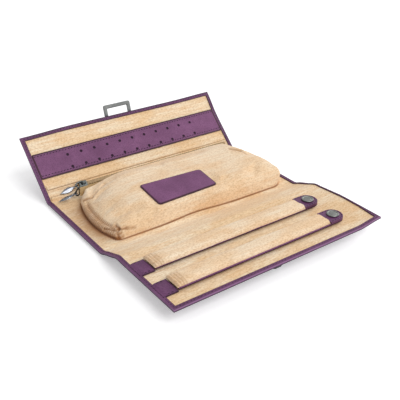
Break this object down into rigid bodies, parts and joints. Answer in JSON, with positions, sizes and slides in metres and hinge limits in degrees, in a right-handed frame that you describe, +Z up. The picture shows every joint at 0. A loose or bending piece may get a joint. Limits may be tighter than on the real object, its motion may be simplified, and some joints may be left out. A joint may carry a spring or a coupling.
{
  "type": "jewelry wallet",
  "caption": "Folding leather jewelry wallet with zip pouch, padded ring straps on snaps, punched earring strip, zip pocket and a closure ring over a turn lock",
  "frame": {"origin": "centre of the middle panel's flat underside, on the surface it lies on", "axes": "+X along the folds, +Y to the back flap, +Z up"},
  "size_m": [0.25, 0.3011, 0.0664],
  "materials": {
    "leather": "smooth dyed leather, soft sheen",
    "suede": "matte napped suede",
    "pad": "matte napped suede over soft filling",
    "board": "matte board",
    "tape": "woven tape",
    "teeth": "satin moulded coil",
    "nickel": "polished nickel plate",
    "steel": "satin plated steel"
  },
  "bodies": {
    "middle_panel": {"cover_middle": "leather", "board_middle": "board", "lining_middle": "suede", "pouch_body": "suede", "pouch_patch": "leather", "pouch_zip_tape": "tape", "pouch_zip_teeth": "teeth"},
    "front_spine": {"cover_front_spine": "leather", "lining_front_spine": "suede"},
    "front_panel": {"cover_front": "leather", "board_front": "board", "lining_front": "suede", "lock_plate": "nickel", "lock_washer": "nickel", "strap_1_anchor": "leather", "strap_1_snap_stud": "nickel", "strap_2_anchor": "leather", "strap_2_snap_stud": "nickel"},
    "turn_knob": {"lock_knob": "nickel"},
    "strap_1": {"strap_1_backing": "leather", "strap_1_pad": "pad", "strap_1_end_tab": "leather", "strap_1_snap_socket": "nickel", "strap_1_snap_cap": "nickel"},
    "strap_2": {"strap_2_backing": "leather", "strap_2_pad": "pad", "strap_2_end_tab": "leather", "strap_2_snap_socket": "nickel", "strap_2_snap_cap": "nickel"},
    "back_spine": {"cover_back_spine": "leather", "lining_back_spine": "suede", "pocket_zip_tape": "tape", "pocket_zip_teeth": "teeth"},
    "back_flap": {"cover_back": "leather", "board_back": "board", "lining_back": "suede", "earring_strip": "leather", "ring_chape": "leather"},
    "ring": {"closure_ring": "steel"},
    "pocket_zip_slider": {"pocket_slider": "nickel"},
    "pocket_zip_link": {"pocket_link": "nickel"},
    "pocket_zip_pull": {"pocket_pull": "nickel"},
    "pouch_zip_slider": {"pouch_slider": "nickel"},
    "pouch_zip_link": {"pouch_link": "nickel"},
    "pouch_zip_pull": {"pouch_pull": "nickel"}
  },
  "joints": [
    {"name": "front_spine_fold", "type": "hinge", "parent": "middle_panel", "child": "front_spine", "pos_m": [0, -0.055, 0.005], "axis": [-1, 0, 0], "range_deg": [0, 16.7], "deforming": ["pouch_body", "pouch_patch"]},
    {"name": "front_fold", "type": "hinge", "parent": "front_spine", "child": "front_panel", "pos_m": [0, -0.08611, 0.01602], "axis": [-1, 0, 0], "range_deg": [0, 163.2], "deforming": ["pouch_body", "pouch_patch"]},
    {"name": "lock_turn", "type": "hinge", "parent": "front_panel", "child": "turn_knob", "pos_m": [0, -0.16262, 0.01072], "axis": [0, 0, -1], "range_deg": [0, 90]},
    {"name": "strap_1_lift", "type": "hinge", "parent": "front_panel", "child": "strap_1", "pos_m": [-0.1075, -0.11381, 0.01712], "axis": [0, 1, 0], "range_deg": [-105, 0]},
    {"name": "strap_2_lift", "type": "hinge", "parent": "front_panel", "child": "strap_2", "pos_m": [-0.1075, -0.14901, 0.01712], "axis": [0, 1, 0], "range_deg": [-105, 0]},
    {"name": "back_fold", "type": "hinge", "parent": "middle_panel", "child": "back_spine", "pos_m": [0, 0.055, 0.005], "axis": [1, 0, 0], "range_deg": [-42, 48]},
    {"name": "back_flap_fold", "type": "hinge", "parent": "back_spine", "child": "back_flap", "pos_m": [0, 0.07358, 0.02173], "axis": [1, 0, 0], "range_deg": [0, 90]},
    {"name": "ring_swing", "type": "hinge", "parent": "back_flap", "child": "ring", "pos_m": [0, 0.1171, 0.04961], "axis": [-1, 0, 0], "range_deg": [0, 170]},
    {"name": "pocket_zip_slide", "type": "slide", "parent": "back_spine", "child": "pocket_zip_slider", "axis": [1, 0, 0], "range_m": [0, 0.19]},
    {"name": "pocket_link_swing", "type": "hinge", "parent": "pocket_zip_slider", "child": "pocket_zip_link", "pos_m": [-0.08, 0.05793, 0.01295], "axis": [0, -0.7431, -0.6691], "range_deg": [-120, 0]},
    {"name": "pocket_pull_swing", "type": "hinge", "parent": "pocket_zip_link", "child": "pocket_zip_pull", "pos_m": [-0.08941, 0.05713, 0.01223], "axis": [0.1564, -0.734, -0.6609], "range_deg": [-90, 0]},
    {"name": "pouch_zip_slide", "type": "slide", "parent": "middle_panel", "child": "pouch_zip_slider", "axis": [1, 0, 0], "range_m": [0, 0.18]},
    {"name": "pouch_link_swing", "type": "hinge", "parent": "pouch_zip_slider", "child": "pouch_zip_link", "pos_m": [-0.0916, 0.04535, 0.014], "axis": [0, -1, 0], "range_deg": [-90, 0]},
    {"name": "pouch_pull_swing", "type": "hinge", "parent": "pouch_zip_link", "child": "pouch_zip_pull", "pos_m": [-0.09667, 0.04535, 0.01048], "axis": [0, 0, -1], "range_deg": [-40, 0]}
  ]
}
